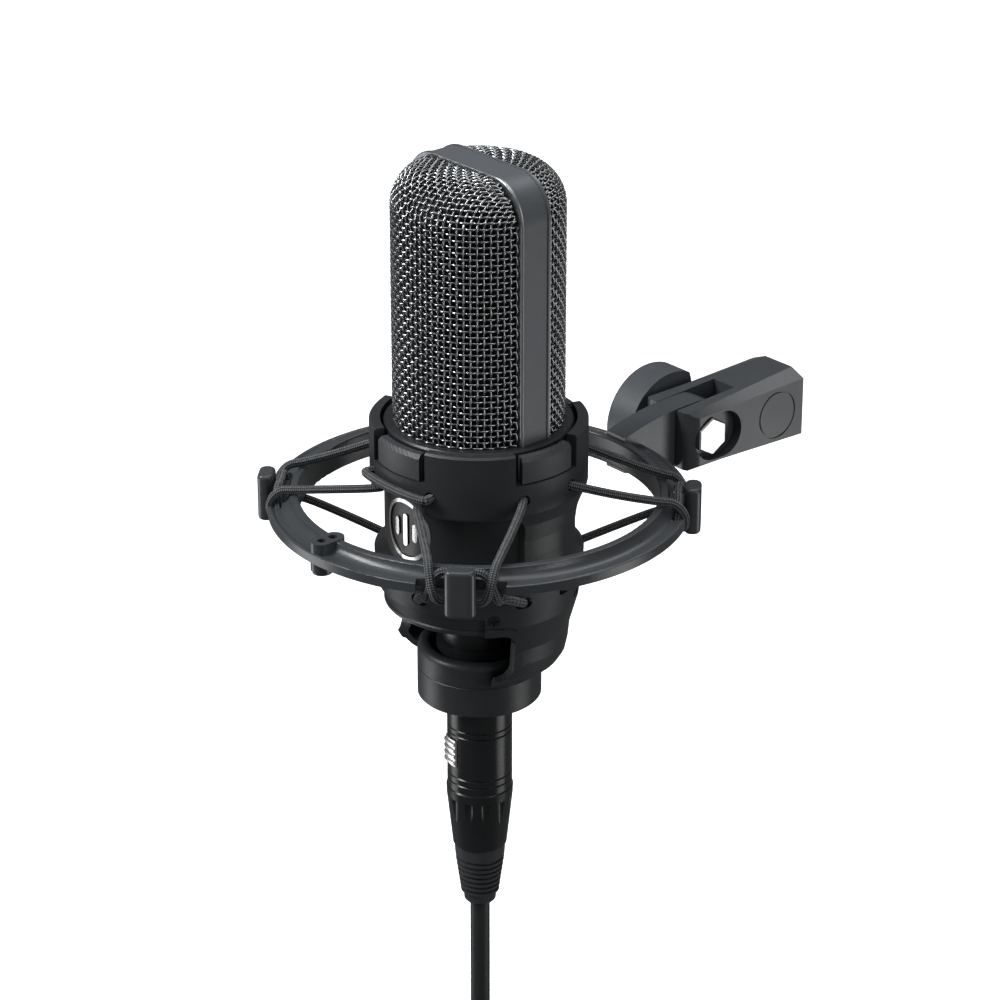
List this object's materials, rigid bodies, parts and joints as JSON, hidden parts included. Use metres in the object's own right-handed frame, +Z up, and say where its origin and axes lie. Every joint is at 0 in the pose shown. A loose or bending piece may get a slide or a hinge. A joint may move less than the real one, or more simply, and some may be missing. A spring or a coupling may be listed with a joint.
{
  "type": "ribbon microphone",
  "caption": "Side-address ribbon microphone with a woven wire head, hung in an elastic shock mount with a ring arm, tilting fork adapter, thumb knob and plugged-in lead.",
  "frame": {"origin": "centre of the stand thread's mouth in the back face of the fork adapter", "axes": "+Z up along the microphone, +Y along the stand thread away from the microphone, so the microphone's front faces -Y"},
  "size_m": [0.122, 0.1815, 0.4702],
  "materials": {
    "cast_black": "fine satin black powder coat",
    "moulded_black": "fine-grained matt black moulding",
    "pad_rubber": "matt black rubber",
    "elastic": "braided black elastic",
    "body_enamel": "satin black enamel",
    "frame_satin": "satin dark grey",
    "badge_metal": "dark grey with polished relief",
    "woven_wire": "black coated wire",
    "fine_gauze": "black gauze",
    "bright_steel": "nickel plated",
    "black_screw": "black oxide",
    "brass_parts": "plain brass",
    "knob_plastic": "smooth dark grey moulding",
    "washer_fibre": "black fibre",
    "motor_iron": "plated soft iron",
    "magnet_grey": "nickel plated magnet",
    "ribbon_foil": "bare foil",
    "clamp_brass": "plain brass",
    "mount_rubber": "soft black rubber",
    "board_green": "solder-masked board",
    "transformer_can": "drawn metal can",
    "connector_black": "satin black chrome",
    "insulator": "black moulding",
    "boot_rubber": "matt black rubber",
    "cable_jacket": "smooth matt black jacket",
    "tie_fabric": "black hook-and-loop strap"
  },
  "bodies": {
    "stand": {"clevis_block": "cast_black", "thread_insert": "brass_parts", "pivot_bolt": "bright_steel", "knob_washer": "washer_fibre"},
    "knob": {"tightening_knob": "knob_plastic", "knob_core": "brass_parts"},
    "ring": {"suspension_ring": "cast_black", "pivot_bush": "washer_fibre", "post_wraps": "elastic"},
    "cradle": {"cradle": "moulded_black", "grip_pads": "pad_rubber", "cradle_screws": "black_screw", "upper_strands": "elastic", "lower_strands": "elastic", "cord_bridges": "elastic"},
    "lock_ring": {"lock_ring": "moulded_black"},
    "microphone": {"body_tube": "body_enamel", "badge": "badge_metal", "head_base": "body_enamel", "front_grille": "woven_wire", "rear_grille": "woven_wire", "fine_mesh": "fine_gauze", "head_frame": "frame_satin", "bottom_cap": "body_enamel", "outlet_shell": "connector_black", "outlet_insert": "insulator", "outlet_pins": "brass_parts", "motor_mount": "mount_rubber", "motor_frame": "motor_iron", "magnets": "magnet_grey", "pole_pieces": "motor_iron", "ribbons": "ribbon_foil", "ribbon_clamps": "clamp_brass", "motor_screws": "bright_steel", "chassis_rails": "motor_iron", "circuit_board": "board_green", "transformer": "transformer_can"},
    "lead": {"connector_shell": "connector_black", "contact_insert": "insulator", "sockets": "brass_parts", "connector_sleeve": "connector_black", "connector_boot": "boot_rubber", "cable_chuck": "insulator", "cable_lead": "cable_jacket", "cable_coil": "cable_jacket", "cable_tail": "cable_jacket", "cable_tie": "tie_fabric", "far_boot": "boot_rubber", "far_sleeve": "connector_black", "far_shell": "connector_black", "far_insert": "insulator", "far_pins": "brass_parts"},
    "latch": {"latch": "bright_steel"}
  },
  "joints": [
    {"name": "knob_turn", "type": "hinge", "parent": "stand", "child": "knob", "pos_m": [-0.012, -0.0374, 0], "axis": [-1, 0, 0], "range_deg": [0, 720]},
    {"name": "tilt", "type": "hinge", "parent": "stand", "child": "ring", "pos_m": [0, -0.0374, 0], "axis": [1, 0, 0], "range_deg": [-85, 85]},
    {"name": "suspension", "type": "slide", "parent": "ring", "child": "cradle", "axis": [0, 0, 1], "range_m": [-0.003, 0.003], "stiffness_N_per_m": 3000, "springref_m": 0.0026, "deforming": ["upper_strands", "lower_strands"]},
    {"name": "lock_ring_turn", "type": "hinge", "parent": "cradle", "child": "lock_ring", "pos_m": [0, -0.1205, -0.052], "axis": [0, 0, 1], "range_deg": [0, 60]},
    {"name": "microphone_lift", "type": "slide", "parent": "cradle", "child": "microphone", "axis": [0, 0, 1], "range_m": [0, 0.09]},
    {"name": "connector_pull", "type": "slide", "parent": "microphone", "child": "lead", "axis": [0, 0, -1], "range_m": [0, 0.03]},
    {"name": "latch_press", "type": "slide", "parent": "lead", "child": "latch", "axis": [0.2079, 0.9781, 0], "range_m": [0, 0.0009], "stiffness_N_per_m": 600}
  ]
}
